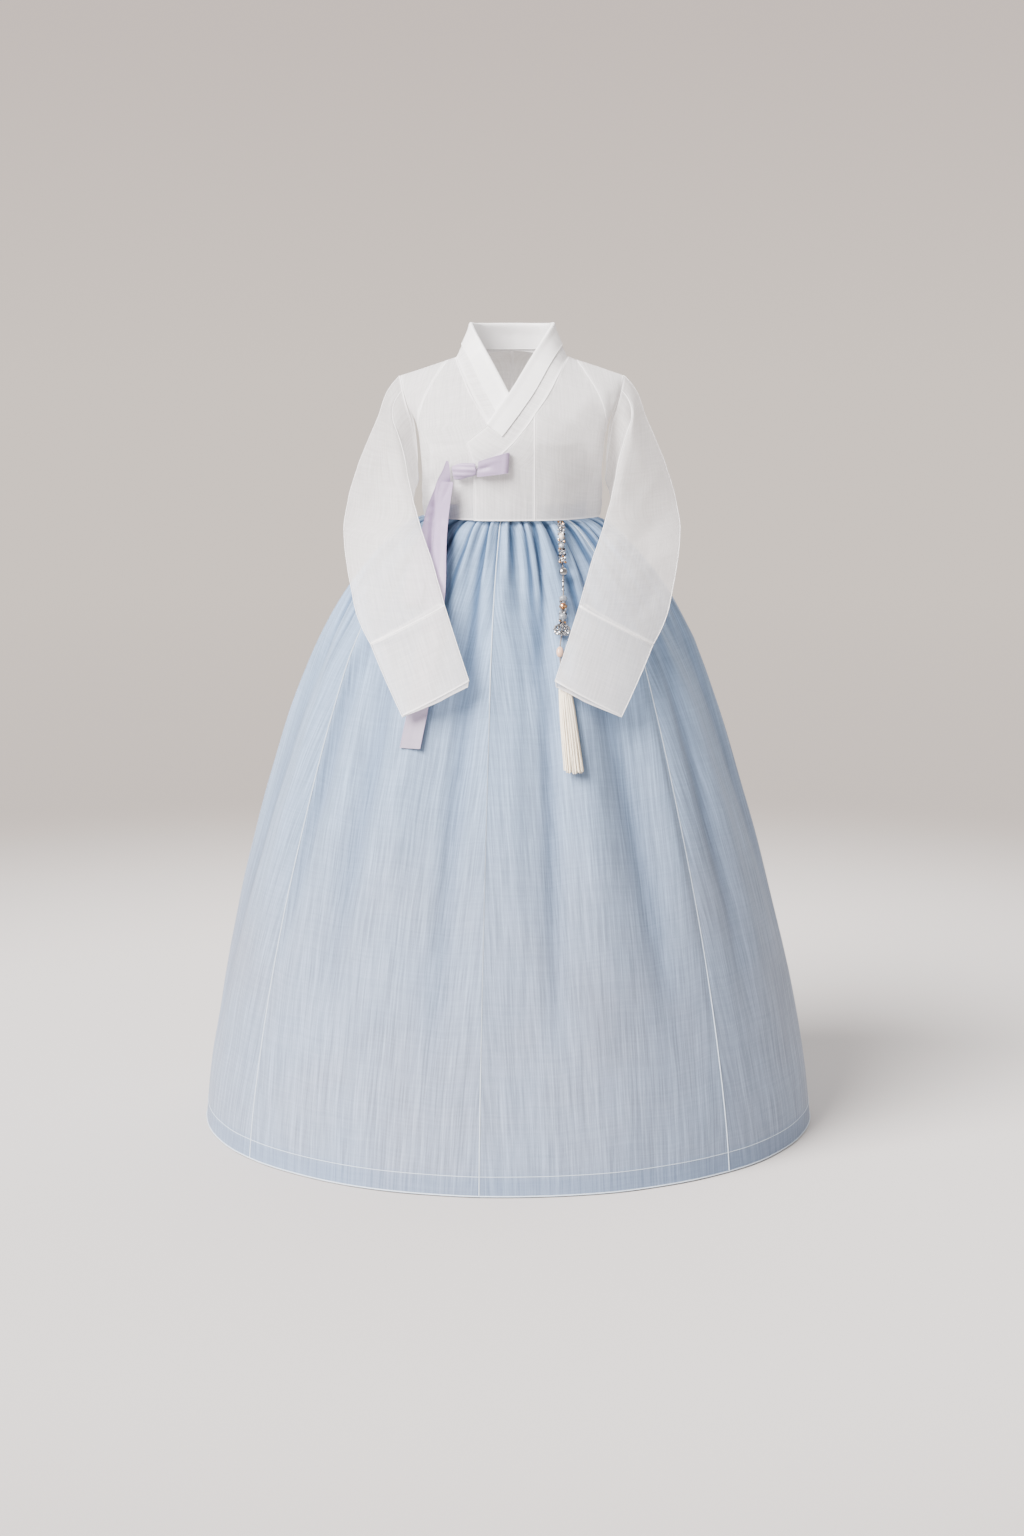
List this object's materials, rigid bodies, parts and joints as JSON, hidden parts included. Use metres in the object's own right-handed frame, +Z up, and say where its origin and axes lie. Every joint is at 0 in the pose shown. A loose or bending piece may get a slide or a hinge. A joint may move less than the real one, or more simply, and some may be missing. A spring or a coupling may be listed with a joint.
{
  "type": "korean hanbok",
  "caption": "Woman's hanbok, worn form: short sheer jacket with crossed collar, curved sleeves and tied ribbons, full-length pleated skirt, and a beaded tassel pendant.",
  "frame": {"origin": "on the shoulder line in the middle plane, between the two shoulder points, where the wearer's shoulders hold the garment", "axes": "+Z up, -Y the wearer's front, +X the wearer's left"},
  "size_m": [0.9948, 0.9544, 1.286],
  "materials": {
    "jacket_cloth": "sheer off-white plain weave with fine raised seams",
    "collar_white": "smooth bright white, paper-stiff, lightly creased",
    "skirt_cloth": "pale blue slubby plain weave, matt with a soft bloom",
    "band_cloth": "plain off-white cotton",
    "ribbon_silk": "pale lavender silk, softly glossy",
    "silver": "bright silver with clear and pearly stones",
    "tassel_silk": "cream twisted silk thread"
  },
  "bodies": {
    "root": {"jacket_back_left": "jacket_cloth", "jacket_back_right": "jacket_cloth", "jacket_front_right": "jacket_cloth", "jacket_front_left": "jacket_cloth", "jacket_overlap_left": "jacket_cloth", "jacket_yoke_left": "jacket_cloth", "jacket_yoke_right": "jacket_cloth", "collar_band": "jacket_cloth", "sleeve_left": "jacket_cloth", "sleeve_right": "jacket_cloth", "cuff_left": "jacket_cloth", "cuff_right": "jacket_cloth", "collar_trim": "collar_white", "skirt_band": "band_cloth", "skirt_panel_1": "skirt_cloth", "skirt_panel_2": "skirt_cloth", "skirt_panel_3": "skirt_cloth", "skirt_panel_4": "skirt_cloth", "skirt_panel_5": "skirt_cloth", "skirt_panel_6": "skirt_cloth", "skirt_panel_7": "skirt_cloth", "ribbon_tail_long": "ribbon_silk", "ribbon_tail_short": "ribbon_silk", "ribbon_loop": "ribbon_silk", "ribbon_knot": "ribbon_silk", "norigae_cord": "tassel_silk", "norigae_bead_01": "silver", "norigae_bead_02": "silver", "norigae_bead_03": "silver", "norigae_bead_04": "silver", "norigae_bead_05": "silver", "norigae_bead_06": "silver", "norigae_bead_07": "silver", "norigae_bead_08": "silver", "norigae_bead_09": "silver", "norigae_bead_10": "silver", "norigae_bead_11": "silver", "norigae_ornament": "silver", "norigae_cap": "silver", "norigae_tassel": "tassel_silk"}
  },
  "joints": []
}
